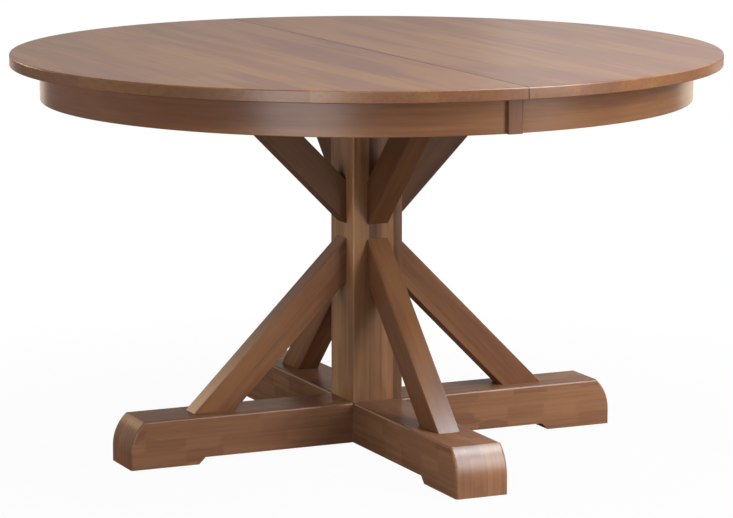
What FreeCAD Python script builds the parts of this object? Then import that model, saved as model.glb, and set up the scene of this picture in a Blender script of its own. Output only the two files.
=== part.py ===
import FreeCAD, Part
import math
import os

# Round single-pedestal extension table in millimetres. The floor is z = 0 and the
# pedestal's axis is the Z axis. The top is cut in two along Y, and its halves draw
# apart along X on two geared slide sets. Left is -X, front is -Y.

# Top
table_height = 774.7
top_diameter = 1371.6
top_thickness = 22.2
top_edge_round = 3.0
top_under_round = 1.5
seam_gap = 0.8
seam_ease = 0.7

# Apron ring under the top, and the strip that covers its joint
apron_overhang = 57.0
apron_height = 66.7
apron_thickness = 19.0
apron_edge_ease = 1.5
strip_width = 28.6
strip_proud = 9.5
strip_edge_round = 4.5
strip_seat_depth = 0.3
strip_slip_gap = 0.5

# Glue blocks inside the apron
block_count = 5
block_length = 70.0
block_depth = 26.0
block_height = 42.0
block_toe = 5.0
block_seam_distance = 60.0
glue_gap = 0.2

# Post and cross foot
post_width = 105.0
post_edge_round = 2.0
foot_span = 1024.0
foot_height = 92.0
foot_edge_round = 3.0
foot_end_radius = 82.0
foot_end_drop = 62.0
pad_length = 138.0
relief_height = 13.0
glide_diameter = 32.0
glide_thickness = 5.0
glide_proud = 1.5
glide_edge = 1.0
glide_stem_diameter = 6.0
glide_stem_length = 16.0
glide_inset = 62.0

# Braces from the post down to the foot and up to the cleats. The waist between them
# lies at a share of the way from the foot to the cleats.
brace_width = 44.0
brace_thickness = 60.0
brace_angle = 45.0
brace_edge_ease = 1.5
waist_share = 0.6056
waist_gap = 28.5

# Crossed cleats on the post and the board that they carry
cleat_width = 89.0
cleat_height = 38.0
cleat_overhang = 16.0
cleat_end_bevel = 18.0
board_thickness = 19.0
board_length = 560.0
board_edge = 26.0
board_corner_round = 15.0

# Slide sets
slide_height = 50.5
slide_spacing = 340.0
slide_travel = 304.8
rail_width = 28.0
rail_top_gap = 1.5
runner_width = 26.0
runner_reach = 400.0
runner_end_gap = 10.0
runner_side_gap = 0.6
runner_under_gap = 2.0
runner_free_gap = 1.0
tongue_inset = 26.0
tongue_depth = 7.0
tongue_neck = 10.0
tongue_flare = 2.0
tongue_gap = 0.4
tongue_drop = 15.5

# Gear train of a slide set
gear_module = 3.0
gear_root_share = 1.25
gear_teeth = 14
gear_pressure_angle = 25.0
gear_flank_steps = 4
gear_face = 8.0
gear_slot_gap = 0.5
gear_floor = 7.0
gear_play = 0.3
gear_hub_diameter = 20.0
gear_web_recess = 1.5
axle_diameter = 10.0
axle_running_gap = 0.05
axle_press_gap = 0.02
axle_cover = 9.0
rack_back = 4.0
rack_end = 12.0
rack_fit = 0.1

# Top locks, each a hook on the left half and a stud on the right half
lock_apron_distance = 139.8
lock_plate_length = 40.0
lock_plate_width = 24.0
lock_plate_thickness = 2.0
lock_seam_distance = 24.0
lock_lever_width = 14.0
lock_lever_thickness = 3.0
lock_lever_gap = 0.3
lock_handle_length = 26.0
lock_pin_diameter = 6.0
lock_running_gap = 0.08
lock_head_diameter = 11.0
lock_head_thickness = 1.8
lock_notch_gap = 0.4
lock_corner_round = 3.0
lock_screw_spacing = 28.0

# Pins that line the halves up at the seam
pin_diameter = 9.5
pin_length = 40.0
pin_reach = 18.0
pin_socket_gap = 0.3
pin_socket_extra = 3.0
pin_nose = 1.5
pin_place_shares = (-0.8, -0.4, 0.0, 0.4, 0.8)

# Fasteners
lag_diameter = 9.5
lag_length = 105.0
lag_flats = 14.3
lag_head_height = 6.4
lag_spacing = 50.0
lag_foot_recess = 14.0
lag_cleat_recess = 11.0
washer_diameter = 24.0
washer_thickness = 2.0
brace_screw_diameter = 6.4
brace_screw_head = 12.0
brace_screw_head_height = 4.0
brace_screw_grip = 44.0
brace_screw_recess = 14.0
brace_screw_share = 0.3
dowel_diameter = 12.0
dowel_in_post = 30.0
dowel_in_brace = 27.0
wood_screw_diameter = 4.8
wood_screw_head = 9.0
wood_screw_head_height = 3.2
board_screw_place = 115.0
board_screw_length = 45.0
rail_screw_length = 34.0
rail_screw_shares = (-0.85, -0.35, 0.35, 0.85)
runner_screw_bite = 12.0
runner_screw_recess = 26.0
runner_screw_shares = (0.1, 0.5, 0.9)
plate_screw_diameter = 3.5
plate_screw_head = 7.0
plate_screw_head_height = 1.8
plate_screw_length = 14.0
hole_gap = 0.2
overrun = 5.0
pick_margin = 0.1

# Levels and radii that follow from the sizes above
top_radius = top_diameter / 2
top_under = table_height - top_thickness
apron_radius = top_radius - apron_overhang
apron_inner = apron_radius - apron_thickness
apron_bottom = top_under - apron_height
seam_half = seam_gap / 2
lock_place = apron_inner - lock_apron_distance
rail_bottom = top_under - slide_height
rail_top = top_under - rail_top_gap
board_bottom = rail_bottom - board_thickness
cleat_bottom = board_bottom - cleat_height
foot_bottom = glide_proud
foot_top = foot_bottom + foot_height
relief_top = foot_bottom + relief_height
waist_height = foot_top + (cleat_bottom - foot_top) * waist_share
half_post = post_width / 2
half_foot = foot_span / 2
half_brace = brace_width / 2
half_rail = rail_width / 2

# A brace's horizontal and vertical cuts, and where they fall
brace_slope = math.tan(math.radians(brace_angle))
brace_foot_cut = brace_thickness / math.sin(math.radians(brace_angle))
brace_post_cut = brace_thickness / math.cos(math.radians(brace_angle))
lower_tip = waist_height - waist_gap / 2
upper_tip = waist_height + waist_gap / 2
lower_reach = half_post + (lower_tip - foot_top) / brace_slope
upper_reach = half_post + (cleat_bottom - upper_tip) / brace_slope
lower_screw_place = lower_reach - brace_foot_cut * (1 - brace_screw_share)
upper_screw_place = upper_reach - brace_foot_cut * (1 - brace_screw_share)
half_cleat = upper_reach + cleat_overhang

# The slide set: the rack's pitch line lies one pitch radius from the rail's middle
pitch_radius = gear_module * gear_teeth / 2
gear_outer = pitch_radius + gear_module
gear_dedendum = gear_module * gear_root_share
gear_root = pitch_radius - gear_dedendum
gear_base = pitch_radius * math.cos(math.radians(gear_pressure_angle))
tooth_pitch = math.pi * gear_module
rack_tip_line = pitch_radius - gear_module
rack_root_line = pitch_radius + gear_dedendum
rack_back_line = rack_root_line + rack_back
gear_slot_low = rail_bottom + gear_floor
gear_slot_high = gear_slot_low + gear_face + gear_slot_gap * 2
gear_low = gear_slot_low + gear_slot_gap
runner_inner_line = half_rail + runner_side_gap
runner_outer_line = runner_inner_line + runner_width
runner_bottom = rail_bottom + runner_under_gap
tongue_level = rail_top - tongue_drop
slide_lines = {"front": -slide_spacing / 2, "back": slide_spacing / 2}
slide_widest = slide_spacing / 2 + runner_outer_line
runner_outer_end = math.sqrt(apron_inner ** 2 - slide_widest ** 2) - runner_end_gap
rack_tip_run = math.sqrt(gear_outer ** 2 - rack_tip_line ** 2)
rack_spaces_before = math.ceil(rack_tip_run / tooth_pitch)
rack_spaces_after = math.ceil((slide_travel + rack_tip_run) / tooth_pitch)
half_board_width = slide_spacing / 2 + half_rail + board_edge

X = FreeCAD.Vector(1, 0, 0)
Z = FreeCAD.Vector(0, 0, 1)
ORIGIN = FreeCAD.Vector(0, 0, 0)
QUARTER_TURNS = {"right": 0, "back": 90, "left": 180, "front": 270}


def vec(x, y, z):
    return FreeCAD.Vector(x, y, z)


def box(x0, x1, y0, y1, z0, z1):
    return Part.makeBox(x1 - x0, y1 - y0, z1 - z0, vec(x0, y0, z0))


def polygon(points):
    return Part.Face(Part.makePolygon(points + points[:1]))


def turned(shape, degrees):
    copy = shape.copy()
    copy.rotate(ORIGIN, Z, degrees)
    return copy


def moved(shape, x, y, z):
    copy = shape.copy()
    copy.translate(vec(x, y, z))
    return copy


def flipped(shape):
    copy = shape.copy()
    copy.rotate(ORIGIN, X, 180)
    return copy


def cut_by(shape, tools):
    return shape.cut(Part.makeCompound(tools)) if tools else shape


# Stands in for one side of the seam plane when a full turn is cut in two.
def half_space(side):
    reach = top_radius + overrun
    inner, outer = sorted((side * seam_half, side * reach))
    return box(inner, outer, -reach, reach, -overrun, table_height + overrun)


# A shank with a round head below it, standing on the head's underside at z = 0.
def screw(diameter, length, head_diameter, head_height):
    shank = Part.makeCylinder(diameter / 2, length)
    head = Part.makeCylinder(head_diameter / 2, head_height, vec(0, 0, -head_height))
    return shank.fuse(head).removeSplitter()


# The way that a screw goes: its shank's hole, and its head's recess out to the face.
def screw_hole(diameter, length, head_diameter, recess):
    shank = Part.makeCylinder(diameter / 2 + hole_gap, length + hole_gap)
    head = Part.makeCylinder(head_diameter / 2 + hole_gap, recess, vec(0, 0, -recess))
    return shank.fuse(head).removeSplitter()


def hexagon(flats, height):
    corner = flats / math.sqrt(3)
    points = []
    for i in range(6):
        a = math.radians(60 * i)
        points.append(vec(corner * math.cos(a), corner * math.sin(a), 0))
    return polygon(points).extrude(vec(0, 0, height))


def lag_bolt():
    shank = Part.makeCylinder(lag_diameter / 2, lag_length + washer_thickness,
                              vec(0, 0, -washer_thickness))
    head = hexagon(lag_flats, lag_head_height)
    return shank.fuse(moved(head, 0, 0, -washer_thickness - lag_head_height))


def lag_washer():
    ring = Part.makeCylinder(washer_diameter / 2, washer_thickness)
    ring = ring.cut(Part.makeCylinder(lag_diameter / 2 + hole_gap, washer_thickness))
    return moved(ring, 0, 0, -washer_thickness)


def lag_hole(recess):
    return screw_hole(lag_diameter, lag_length, washer_diameter, recess)


def at_lag_corners(shape, level):
    offset = lag_spacing / 2
    copies = []
    for sx in (-1, 1):
        for sy in (-1, 1):
            copies.append(moved(shape, sx * offset, sy * offset, level))
    return copies


def at_quarters(shape):
    return [turned(shape, angle) for angle in QUARTER_TURNS.values()]


def dowel(level, gap):
    radius = dowel_diameter / 2 + gap
    length = dowel_in_post + dowel_in_brace + gap * 2
    start = vec(half_post - dowel_in_post - gap, 0, level)
    return Part.makeCylinder(radius, length, start, X)


# Levels of the dowels: half way up each brace's joint with the post
lower_dowel_level = lower_tip - brace_post_cut / 2
upper_dowel_level = upper_tip + brace_post_cut / 2

# Where the fasteners' heads seat
foot_lag_seat = relief_top + lag_foot_recess
cleat_lag_seat = board_bottom - lag_cleat_recess
lower_screw_seat = relief_top + brace_screw_recess
upper_screw_seat = board_bottom - brace_screw_recess
lower_screw_length = foot_top + brace_screw_grip - lower_screw_seat
upper_screw_length = upper_screw_seat - cleat_bottom + brace_screw_grip
runner_screw_seat = runner_bottom + runner_screw_recess
runner_screw_length = top_under + runner_screw_bite - runner_screw_seat
runner_screw_line = (rack_back_line + runner_outer_line) / 2


# Half disc of solid boards with an eased upper edge and a softened lower one.
def top_half(side):
    low, high, rim = top_under, table_height, top_radius
    bend = math.sqrt(0.5)
    p = [vec(0, 0, low), vec(rim - top_under_round, 0, low),
         vec(rim, 0, low + top_under_round), vec(rim, 0, high - top_edge_round),
         vec(rim - top_edge_round, 0, high), vec(0, 0, high)]
    under_mid = vec(rim - top_under_round * (1 - bend), 0, low + top_under_round * (1 - bend))
    upper_mid = vec(rim - top_edge_round * (1 - bend), 0, high - top_edge_round * (1 - bend))
    edges = [Part.makeLine(p[0], p[1]),
             Part.Arc(p[1], under_mid, p[2]).toShape(),
             Part.makeLine(p[2], p[3]),
             Part.Arc(p[3], upper_mid, p[4]).toShape(),
             Part.makeLine(p[4], p[5]),
             Part.makeLine(p[5], p[0])]
    disc = Part.Face(Part.Wire(edges)).revolve(ORIGIN, Z, 360)
    half = Part.makeSolid(disc.Shells[0]).common(half_space(side))
    ways = []
    for level, away in ((high, overrun), (low, -overrun)):
        corner = math.copysign(seam_ease, away)
        ways.append(polygon([vec(side * seam_half, -rim, level - corner),
                             vec(side * (seam_half + seam_ease), -rim, level),
                             vec(side * (seam_half + seam_ease), -rim, level + away),
                             vec(side * seam_half, -rim, level + away)]))
    half = cut_by(half, [way.extrude(vec(0, top_diameter, 0)) for way in ways])
    middle = top_under + top_thickness / 2
    holes = []
    for share in pin_place_shares:
        y = share * top_radius
        if side > 0:
            depth = pin_length - pin_reach
            radius = pin_diameter / 2
            holes.append(Part.makeCylinder(radius, depth, vec(seam_half, y, middle), X))
        else:
            depth = pin_reach + pin_socket_extra
            radius = pin_diameter / 2 + pin_socket_gap
            holes.append(Part.makeCylinder(radius, depth, vec(-seam_half, y, middle), -X))
    return cut_by(half, holes + runner_screw_holes(side) + plate_screw_holes(side))


# Half ring of bent laminations, with a seat milled for the strip that it carries.
def apron_half(side):
    profile = [vec(apron_inner, 0, apron_bottom),
               vec(apron_radius - apron_edge_ease, 0, apron_bottom),
               vec(apron_radius, 0, apron_bottom + apron_edge_ease),
               vec(apron_radius, 0, top_under),
               vec(apron_inner, 0, top_under)]
    ring = polygon(profile).revolve(ORIGIN, Z, 360)
    half = Part.makeSolid(ring.Shells[0]).common(half_space(side))
    seat = box(0, strip_width / 2, -apron_radius - overrun, strip_seat_depth - apron_radius,
               apron_bottom - overrun, top_under + overrun)
    return half.cut(seat if side > 0 else turned(seat, 180))


# Covers the apron's joint at the front; the back one is the same piece turned round.
def cover_strip(side):
    front = -apron_radius - strip_proud
    seat = box(seam_half, strip_width / 2, front, strip_seat_depth - apron_radius,
               apron_bottom, top_under)
    lap = box(-strip_width / 2, seam_half, front, -apron_radius - strip_slip_gap,
              apron_bottom, top_under)
    strip = seat.fuse(lap).removeSplitter()
    corners = []
    for edge in strip.Edges:
        at = edge.BoundBox
        if at.ZLength > apron_height / 2 and at.YMax < front + pick_margin:
            corners.append(edge)
    strip = strip.makeFillet(strip_edge_round, corners)
    return strip if side > 0 else turned(strip, 180)


# Wedges glued into the corner between the apron and the top.
def apron_blocks(side):
    outer = apron_inner - glue_gap
    low = top_under - block_height
    inner = outer - block_depth
    profile = [vec(outer, 0, low), vec(outer, 0, top_under), vec(inner, 0, top_under),
               vec(inner, 0, top_under - block_toe), vec(outer - block_toe, 0, low)]
    span = math.degrees(block_length / outer)
    first = math.degrees(block_seam_distance / outer)
    step = (180 - first * 2 - span) / (block_count - 1)
    start = QUARTER_TURNS["front" if side > 0 else "back"]
    blocks = []
    for i in range(block_count):
        block = polygon(profile).revolve(ORIGIN, Z, span)
        blocks.append(turned(block, start + first + step * i))
    return blocks


def foot_end_run():
    drop = foot_end_drop
    return foot_end_radius - math.sqrt(foot_end_radius ** 2 - drop ** 2)


# One beam's side view, from the middle to its right end, closed down the middle.
def foot_profile():
    bend_start = foot_top - foot_end_drop
    crease = half_foot - foot_end_run()
    middle_angle = math.asin(foot_end_drop / foot_end_radius) / 2
    centre = half_foot - foot_end_radius
    arc_middle = vec(centre + foot_end_radius * math.cos(middle_angle), 0,
                     bend_start + foot_end_radius * math.sin(middle_angle))
    pad_start = half_foot - pad_length
    end_low = vec(half_foot, 0, foot_bottom)
    end_high = vec(half_foot, 0, bend_start)
    crest = vec(crease, 0, foot_top)
    lines = [vec(crease, 0, foot_top), vec(0, 0, foot_top), vec(0, 0, relief_top),
             vec(pad_start - relief_height, 0, relief_top), vec(pad_start, 0, foot_bottom),
             end_low, end_high]
    edges = [Part.makeLine(a, b) for a, b in zip(lines, lines[1:])]
    edges.append(Part.Arc(end_high, arc_middle, crest).toShape())
    return Part.Face(Part.Wire(edges))


# One arm of the cross foot, along +X, rounded along its top edges and round its end.
def foot_arm():
    face = foot_profile()
    face.translate(vec(0, -half_post, 0))
    arm = face.extrude(vec(0, post_width, 0))
    arm = arm.cut(box(-overrun, half_post, -post_width, post_width, 0, table_height))
    edges = []
    for edge in arm.Edges:
        at = edge.BoundBox
        on_side = at.YLength < pick_margin and abs(abs(at.YMin) - half_post) < pick_margin
        on_top = at.ZMin > foot_top - foot_end_drop - pick_margin and at.XLength > pick_margin
        if on_side and on_top:
            edges.append(edge)
    return arm.makeFillet(foot_edge_round, edges)


# The lap plane lies half way up the beams where they cross.
def foot_beam(along_x):
    lap = (relief_top + foot_top) / 2
    low, high = (relief_top, lap) if along_x else (lap, foot_top)
    middle = box(-half_post, half_post, -half_post, half_post, low, high)
    beam = middle.fuse([foot_arm(), turned(foot_arm(), 180)]).removeSplitter()
    tools = []
    screw_way = screw_hole(brace_screw_diameter, lower_screw_length, brace_screw_head,
                           brace_screw_recess + overrun)
    for angle in (0, 180):
        tools.append(turned(moved(screw_way, lower_screw_place, 0, lower_screw_seat), angle))
        tools.append(turned(glide_bore(), angle))
    if not along_x:
        beam = turned(beam, 90)
        tools = [turned(tool, 90) for tool in tools]
    return cut_by(beam, tools + at_lag_corners(lag_hole(lag_foot_recess + overrun), foot_lag_seat))


def glide_bore():
    place = half_foot - glide_inset
    depth = glide_thickness - glide_proud
    bore = Part.makeCylinder(glide_diameter / 2 + hole_gap, depth + overrun,
                             vec(place, 0, foot_bottom - overrun))
    stem = Part.makeCylinder(glide_stem_diameter / 2 + hole_gap, glide_stem_length + hole_gap,
                             vec(place, 0, foot_bottom + depth))
    return bore.fuse(stem)


# A nylon disc with a stem, driven into a shallow bore in each foot pad.
def foot_glides():
    disc = Part.makeCylinder(glide_diameter / 2, glide_thickness)
    rim = [edge for edge in disc.Edges if edge.BoundBox.ZMax < glide_edge]
    disc = disc.makeChamfer(glide_edge, rim)
    stem = Part.makeCylinder(glide_stem_diameter / 2, glide_stem_length,
                             vec(0, 0, glide_thickness))
    glide = disc.fuse(stem).removeSplitter()
    return at_quarters(moved(glide, half_foot - glide_inset, 0, 0))


# Square post between the cross foot and the cleats.
def post():
    body = box(-half_post, half_post, -half_post, half_post, foot_top, cleat_bottom)
    corners = [edge for edge in body.Edges if edge.BoundBox.ZLength > post_width]
    body = body.makeFillet(post_edge_round, corners)
    tools = at_quarters(dowel(lower_dowel_level, hole_gap))
    tools += at_quarters(dowel(upper_dowel_level, hole_gap))
    tools += at_lag_corners(lag_hole(lag_foot_recess), foot_lag_seat)
    tools += at_lag_corners(flipped(lag_hole(lag_cleat_recess)), cleat_lag_seat)
    return cut_by(body, tools)


def eased_brace(points):
    face = polygon([vec(x, -half_brace, z) for x, z in points])
    brace = face.extrude(vec(0, brace_width, 0))
    long_edges = []
    for edge in brace.Edges:
        at = edge.BoundBox
        if at.XLength > brace_width and at.ZLength > brace_foot_cut:
            long_edges.append(edge)
    return brace.makeFillet(brace_edge_ease, long_edges)


# Runs from the post's waist down to the foot beam, shown here along +X.
def lower_brace():
    inner = lower_reach - brace_foot_cut
    brace = eased_brace([(half_post, lower_tip), (lower_reach, foot_top),
                         (inner, foot_top), (half_post, lower_tip - brace_post_cut)])
    way = screw_hole(brace_screw_diameter, lower_screw_length, brace_screw_head, overrun)
    return cut_by(brace, [moved(way, lower_screw_place, 0, lower_screw_seat),
                          dowel(lower_dowel_level, hole_gap)])


# Runs from the post's waist up to the cleat, shown here along +X.
def upper_brace():
    inner = upper_reach - brace_foot_cut
    brace = eased_brace([(half_post, upper_tip), (upper_reach, cleat_bottom),
                         (inner, cleat_bottom), (half_post, upper_tip + brace_post_cut)])
    way = screw_hole(brace_screw_diameter, upper_screw_length, brace_screw_head, overrun)
    return cut_by(brace, [moved(flipped(way), upper_screw_place, 0, upper_screw_seat),
                          dowel(upper_dowel_level, hole_gap)])


def board_screw_holes(length, recess):
    way = flipped(screw_hole(wood_screw_diameter, length, wood_screw_head, recess))
    return at_quarters(moved(way, board_screw_place, 0, rail_bottom - wood_screw_head_height))


# The cleats are halved into each other over the post; their lower ends are bevelled.
def cleat(along_x):
    half_width = cleat_width / 2
    profile = [vec(-half_cleat, -half_width, board_bottom),
               vec(-half_cleat, -half_width, cleat_bottom + cleat_end_bevel),
               vec(cleat_end_bevel - half_cleat, -half_width, cleat_bottom),
               vec(half_cleat - cleat_end_bevel, -half_width, cleat_bottom),
               vec(half_cleat, -half_width, cleat_bottom + cleat_end_bevel),
               vec(half_cleat, -half_width, board_bottom)]
    bar = polygon(profile).extrude(vec(0, cleat_width, 0))
    lap = (cleat_bottom + board_bottom) / 2
    low, high = (lap, board_bottom + overrun) if along_x else (cleat_bottom - overrun, lap)
    if not along_x:
        bar = turned(bar, 90)
    notch = box(-half_width, half_width, -half_width, half_width, low, high)
    tools = [notch]
    way = flipped(screw_hole(brace_screw_diameter, upper_screw_length, brace_screw_head,
                             brace_screw_recess + overrun))
    tools += at_quarters(moved(way, upper_screw_place, 0, upper_screw_seat))
    tools += at_lag_corners(flipped(lag_hole(lag_cleat_recess + overrun)), cleat_lag_seat)
    tools += board_screw_holes(board_screw_length, wood_screw_head_height)
    return cut_by(bar, tools)


def rail_screw_places():
    return [share * board_length / 2 for share in rail_screw_shares]


def rail_screw_ways(recess):
    way = screw_hole(wood_screw_diameter, rail_screw_length, wood_screw_head, recess)
    seat = board_bottom + wood_screw_head_height
    return [moved(way, x, y, seat) for y in slide_lines.values() for x in rail_screw_places()]


# The board that the cleats carry and the slide sets stand on.
def mounting_board():
    half = board_length / 2
    board = box(-half, half, -half_board_width, half_board_width, board_bottom, rail_bottom)
    corners = [edge for edge in board.Edges if edge.BoundBox.ZLength > board_thickness / 2]
    board = board.makeFillet(board_corner_round, corners)
    tools = board_screw_holes(board_screw_length, wood_screw_head_height + overrun)
    tools += rail_screw_ways(wood_screw_head_height + overrun)
    return cut_by(board, tools)


# A dovetail in the YZ plane, opening towards +Y from the line y = root.
def dovetail(start, end, root, depth, neck, flare, level):
    points = [vec(start, root, level - neck / 2),
              vec(start, root + depth, level - neck / 2 - flare),
              vec(start, root + depth, level + neck / 2 + flare),
              vec(start, root, level + neck / 2)]
    return polygon(points).extrude(vec(end - start, 0, 0))


# The fixed middle rail, as long as the runners reach on either side, ploughed on both
# sides and slotted for its pinion.
def centre_rail(line):
    half = runner_reach
    rail = box(-half, half, -half_rail, half_rail, rail_bottom, rail_top)
    depth = tongue_depth + tongue_gap
    groove = dovetail(-half - overrun, half + overrun, -half_rail, depth,
                      tongue_neck + tongue_gap, tongue_flare, tongue_level)
    slot_half = gear_outer + gear_slot_gap
    slot = box(-slot_half, slot_half, -rail_width, rail_width, gear_slot_low, gear_slot_high)
    bore = Part.makeCylinder(axle_diameter / 2 + axle_press_gap, axle_length() + overrun,
                             vec(0, 0, rail_bottom - overrun))
    rail = moved(rail.cut([groove, turned(groove, 180), slot, bore]), 0, line, 0)
    return cut_by(rail, rail_screw_ways(overrun))


def axle_length():
    return gear_slot_high + axle_cover - rail_bottom


def gear_axle(line):
    return Part.makeCylinder(axle_diameter / 2, axle_length(), vec(0, line, rail_bottom))


def involute(radius, roll):
    x = radius * (math.cos(roll) + roll * math.sin(roll))
    y = radius * (math.sin(roll) - roll * math.cos(roll))
    return x, y


# Spur pinion with involute flanks; a tooth points along +Y and another along -Y.
def pinion(line):
    pressure = math.radians(gear_pressure_angle)
    outer_roll = math.sqrt((gear_outer / gear_base) ** 2 - 1)
    pitch_polar = math.tan(pressure) - pressure
    half_tooth = math.pi / gear_teeth / 2 - gear_play / 2 / pitch_radius
    flank = []
    for i in range(gear_flank_steps + 1):
        x, y = involute(gear_base, outer_roll * i / gear_flank_steps)
        flank.append((math.hypot(x, y), math.atan2(y, x) - pitch_polar - half_tooth))
    points = []
    for tooth in range(gear_teeth):
        middle = math.pi / 2 + math.tau * tooth / gear_teeth
        sides = [(r, middle + a) for r, a in flank]
        sides += [(r, middle - a) for r, a in reversed(flank)]
        sides = [(gear_root, sides[0][1])] + sides + [(gear_root, sides[-1][1])]
        points += [vec(r * math.cos(a), r * math.sin(a), gear_low) for r, a in sides]
    gear = polygon(points).extrude(vec(0, 0, gear_face))
    rim = gear_root - gear_module
    recess = Part.makeCylinder(rim, gear_web_recess).cut(
        Part.makeCylinder(gear_hub_diameter / 2, gear_web_recess))
    bore = Part.makeCylinder(axle_diameter / 2 + axle_running_gap, gear_face, vec(0, 0, gear_low))
    gear = gear.cut([moved(recess, 0, 0, gear_low),
                     moved(recess, 0, 0, gear_low + gear_face - gear_web_recess), bore])
    return moved(gear, 0, line, 0)


# Rack whose teeth point towards +Y from the line y = -rack_root_line. Its untoothed
# ends are the stops that end the slide's travel.
def rack_outline():
    lean = math.tan(math.radians(gear_pressure_angle))
    tip_half = tooth_pitch / 4 - gear_module * lean
    root_half = tooth_pitch / 4 + gear_dedendum * lean
    outline = []
    for space in range(-rack_spaces_before, rack_spaces_after + 1):
        x = space * tooth_pitch
        outline += [(x - tooth_pitch / 2 + tip_half, -rack_tip_line),
                    (x - tooth_pitch / 2 + root_half, -rack_root_line),
                    (x + tooth_pitch / 2 - root_half, -rack_root_line),
                    (x + tooth_pitch / 2 - tip_half, -rack_tip_line)]
    start, end = rack_ends()
    outline = [(start, -rack_tip_line)] + outline + [(end, -rack_tip_line)]
    return outline + [(end, -rack_back_line), (start, -rack_back_line)]


def rack_ends():
    start = -(rack_spaces_before + 0.5) * tooth_pitch - rack_end
    end = (rack_spaces_after + 0.5) * tooth_pitch + rack_end
    return start, end


def rack(side, line):
    low = gear_low
    strip = polygon([vec(x, y, low) for x, y in rack_outline()]).extrude(vec(0, 0, gear_face))
    if side > 0:
        strip = turned(strip, 180)
    return moved(strip, 0, line, 0)


def runner_screw_places():
    return [-share * runner_outer_end for share in runner_screw_shares]


def runner_screw_holes(side):
    way = screw_hole(wood_screw_diameter, runner_screw_length, wood_screw_head,
                     runner_screw_recess + overrun)
    return runner_screw_set(way, side)


def runner_screw_set(shape, side):
    copies = []
    for line in slide_lines.values():
        for x in runner_screw_places():
            y = line + side * runner_screw_line
            copies.append(moved(shape, -side * x, y, runner_screw_seat))
    return copies


# A runner is screwed to its own half of the top and reaches across the seam under
# the other. It is shown on the rail's -Y side, for the left half.
def runner(side, line):
    outer, inner = -runner_outer_line, -runner_inner_line
    body = box(-runner_outer_end, runner_reach, outer, inner, runner_bottom, top_under)
    free = box(0, runner_reach + overrun, outer - overrun, inner + overrun,
               top_under - runner_free_gap, top_under + overrun)
    tongue = dovetail(tongue_inset - runner_outer_end, runner_reach, inner,
                      tongue_depth + runner_side_gap, tongue_neck - tongue_gap,
                      tongue_flare, tongue_level)
    start, end = rack_ends()
    seat = box(start - rack_fit, end + rack_fit, -rack_back_line, inner + overrun,
               gear_low - rack_fit, gear_low + gear_face + rack_fit)
    body = body.fuse(tongue).removeSplitter().cut([free, seat])
    if side > 0:
        body = turned(body, 180)
    return cut_by(moved(body, 0, line, 0), runner_screw_holes(side))


# Level of the lock lever's upper face, under its plate
lever_top = top_under - lock_plate_thickness - lock_lever_gap
lever_bottom = lever_top - lock_lever_thickness
lock_head_top = lever_bottom - lock_lever_gap
lock_throw = lock_seam_distance * 2


def lock_plate(side, place):
    half_length = lock_plate_length / 2
    half_width = lock_plate_width / 2
    x = side * lock_seam_distance
    plate = box(x - half_width, x + half_width, place - half_length, place + half_length,
                top_under - lock_plate_thickness, top_under)
    corners = [e for e in plate.Edges if e.BoundBox.ZLength > lock_plate_thickness / 2]
    plate = plate.makeFillet(lock_corner_round, corners)
    return plate.cut(plate_screw_ways(side, place))


def plate_screw_ways(side, place):
    way = screw_hole(plate_screw_diameter, plate_screw_length, plate_screw_head, overrun)
    seat = top_under - lock_plate_thickness + plate_screw_head_height
    spread = lock_screw_spacing / 2
    x = side * lock_seam_distance
    return [moved(way, x, place + dy, seat) for dy in (-spread, spread)]


def plate_screw_holes(side):
    return plate_screw_ways(side, lock_place) + plate_screw_ways(side, -lock_place)


# A headed pin under the plate: the hook's pivot on the left, its catch on the right.
def lock_pin(side, place):
    x = side * lock_seam_distance
    level = top_under - lock_plate_thickness
    shank = Part.makeCylinder(lock_pin_diameter / 2, level - lock_head_top,
                              vec(x, place, lock_head_top))
    head = Part.makeCylinder(lock_head_diameter / 2, lock_head_thickness,
                             vec(x, place, lock_head_top - lock_head_thickness))
    return shank.fuse(head).removeSplitter()


# Flat hook that swings on its pin and catches the stud; drawn shut, along +X, and
# then swung a quarter turn away from the seam line to its open place.
def lock_lever(place):
    half = lock_lever_width / 2
    arm = box(0, lock_throw, -half, half, lever_bottom, lever_top)
    tip = Part.makeCylinder(half, lock_lever_thickness, vec(lock_throw, 0, lever_bottom))
    heel = Part.makeCylinder(half, lock_lever_thickness, vec(0, 0, lever_bottom))
    grip = box(lock_throw, lock_throw + lock_handle_length, 0, half, lever_bottom, lever_top)
    lever = arm.fuse([tip, heel, grip]).removeSplitter()
    notch_half = lock_pin_diameter / 2 + lock_notch_gap
    inner, outer = lock_throw - notch_half, lock_throw + notch_half
    channel = polygon([vec(inner, 0, lever_bottom), vec(outer, 0, lever_bottom),
                       vec(outer, 0, lever_top), vec(inner, 0, lever_top)])
    channel = channel.revolve(ORIGIN, Z, -math.degrees(lock_lever_width / lock_throw))
    seat = Part.makeCylinder(notch_half, lock_lever_thickness, vec(lock_throw, 0, lever_bottom))
    bore = Part.makeCylinder(lock_pin_diameter / 2 + lock_running_gap, lock_lever_thickness,
                             vec(0, 0, lever_bottom))
    lever = lever.cut([channel, seat, bore])
    return moved(turned(lever, 90), -lock_seam_distance, place, 0)


def alignment_pins():
    middle = top_under + top_thickness / 2
    back = seam_half + pin_length - pin_reach
    pins = []
    for share in pin_place_shares:
        y = share * top_radius
        pin = Part.makeCylinder(pin_diameter / 2, pin_length, vec(back, y, middle), -X)
        nose = [e for e in pin.Edges if e.BoundBox.XMax < back - pin_length + pick_margin]
        pins.append(pin.makeChamfer(pin_nose, nose))
    return pins


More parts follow.
